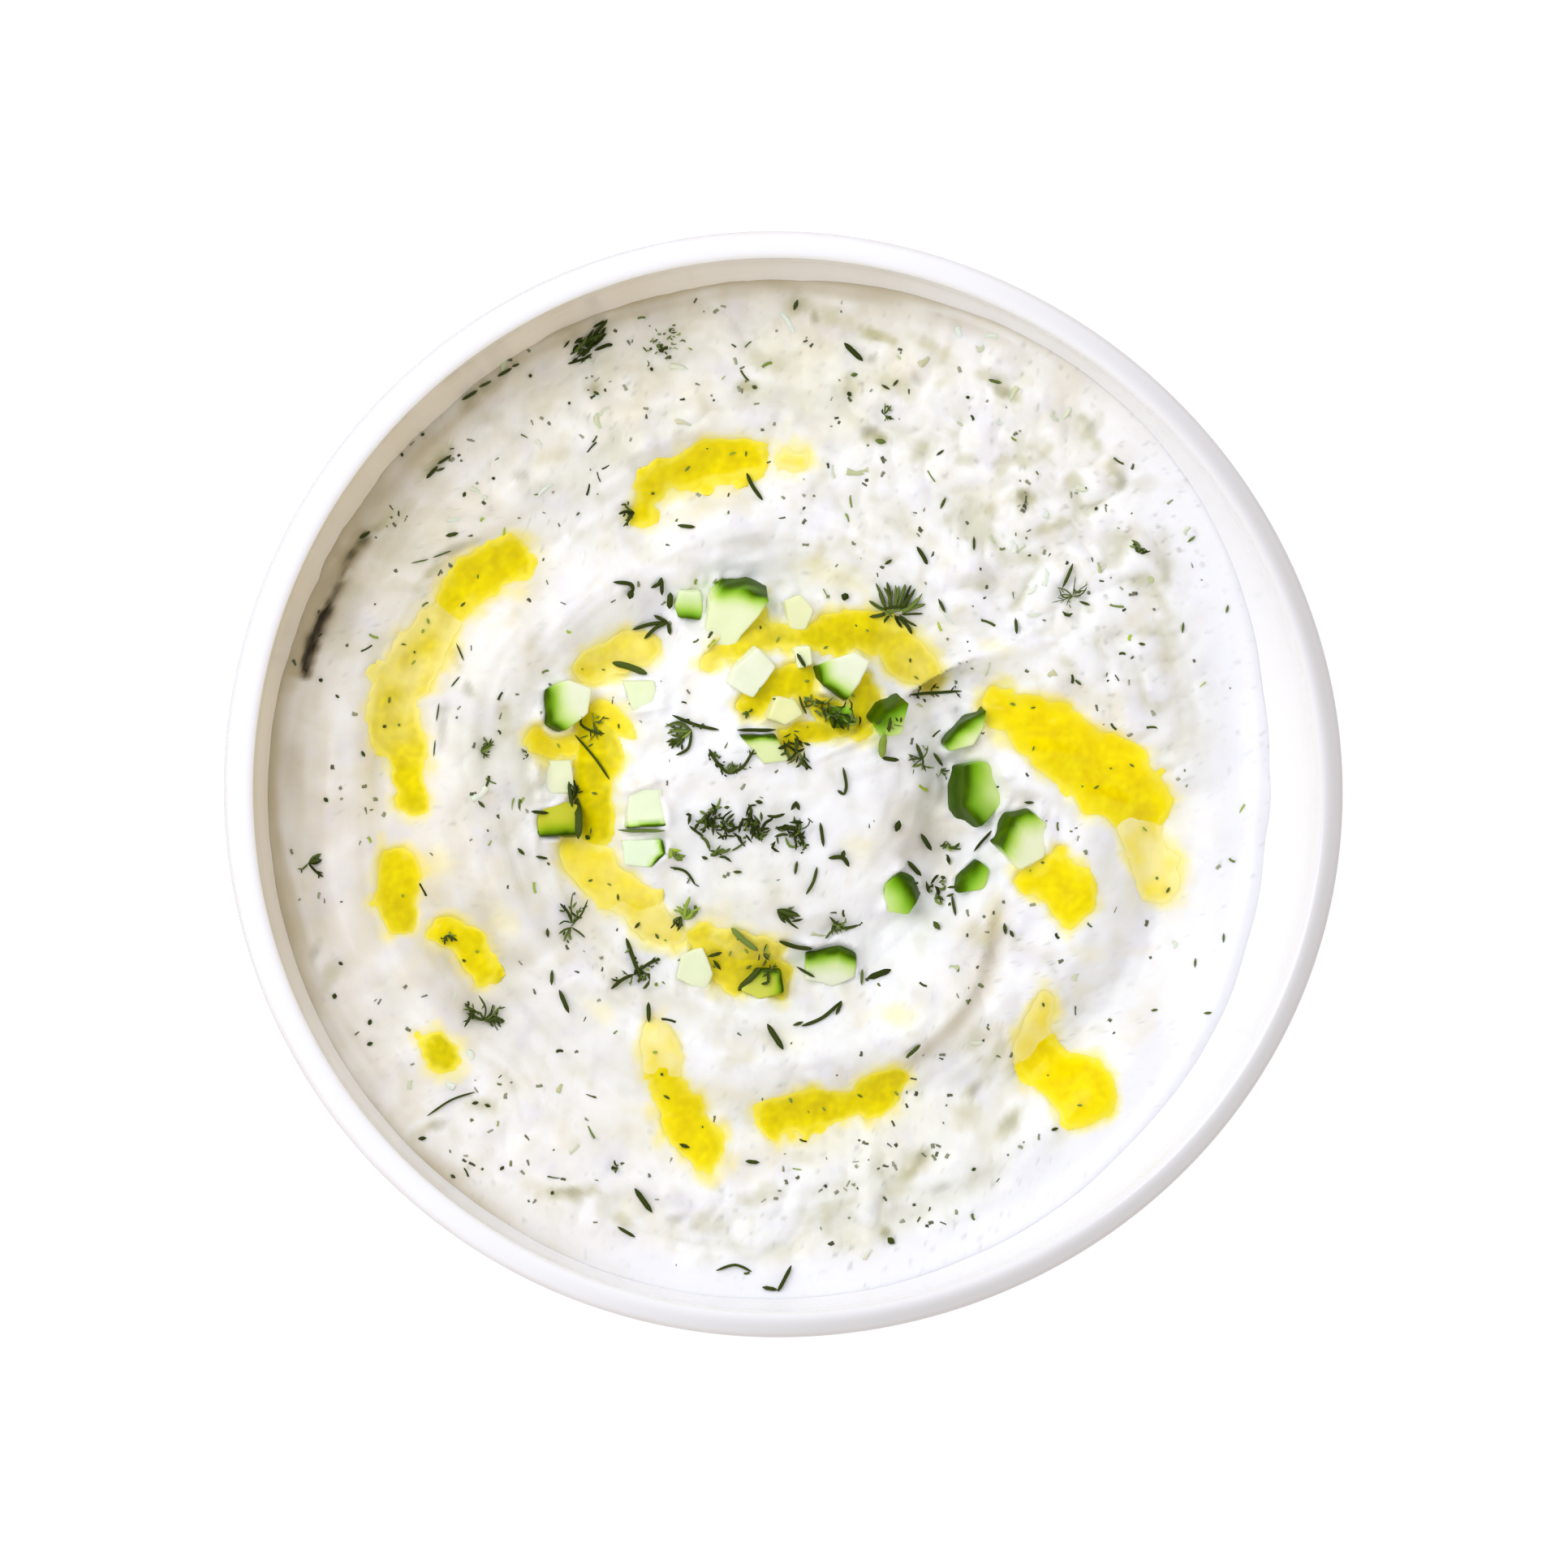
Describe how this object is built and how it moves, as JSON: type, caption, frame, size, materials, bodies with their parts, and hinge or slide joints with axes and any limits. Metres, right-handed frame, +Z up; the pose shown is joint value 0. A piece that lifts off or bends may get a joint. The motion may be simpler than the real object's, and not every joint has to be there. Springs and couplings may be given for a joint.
{
  "type": "tzatziki dip in a bowl",
  "caption": "Shallow round bowl on a foot ring, filled with a spoon-swirled yogurt dip with pools of oil, diced cucumber and chopped herbs; stands on a table to dip from.",
  "frame": {"origin": "on the table under the middle of the bowl: the bowl's axis meets the plane of its foot ring there", "axes": "+Z up along the bowl's axis, +X to the viewer's right and +Y away from the viewer when the bowl is looked down on as served"},
  "size_m": [0.1613, 0.1587, 0.052],
  "materials": {
    "bowl_glaze": "white gloss glaze over stoneware",
    "yogurt": "moist, satin, off-white strained yogurt",
    "cucumber": "wet cut cucumber, pale flesh and dark green skin",
    "herb": "fresh dill, dark green needles",
    "oil": "clear yellow olive oil, wet gloss"
  },
  "bodies": {
    "root": {"bowl": "bowl_glaze", "dip": "yogurt", "cucumber_01": "cucumber", "cucumber_02": "cucumber", "cucumber_03": "cucumber", "cucumber_04": "cucumber", "cucumber_05": "cucumber", "cucumber_06": "cucumber", "cucumber_07": "cucumber", "cucumber_08": "cucumber", "cucumber_09": "cucumber", "cucumber_10": "cucumber", "cucumber_11": "cucumber", "cucumber_12": "cucumber", "cucumber_13": "cucumber", "cucumber_14": "cucumber", "cucumber_15": "cucumber", "cucumber_16": "cucumber", "cucumber_17": "cucumber", "cucumber_18": "cucumber", "cucumber_19": "cucumber", "cucumber_20": "cucumber", "cucumber_21": "cucumber", "cucumber_22": "cucumber", "cucumber_23": "cucumber", "cucumber_24": "cucumber", "oil_back": "oil", "oil_back_drop": "oil", "oil_back_left": "oil", "oil_left": "oil", "oil_left_drop": "oil", "oil_front_left": "oil", "oil_front_left_drop": "oil", "oil_front": "oil", "oil_front_right": "oil", "oil_right_front": "oil", "oil_ridge": "oil", "oil_right": "oil", "oil_moat_back_left": "oil", "oil_moat_left": "oil", "oil_moat_front_left": "oil", "oil_moat_back": "oil", "oil_moat_front": "oil"}
  },
  "joints": []
}
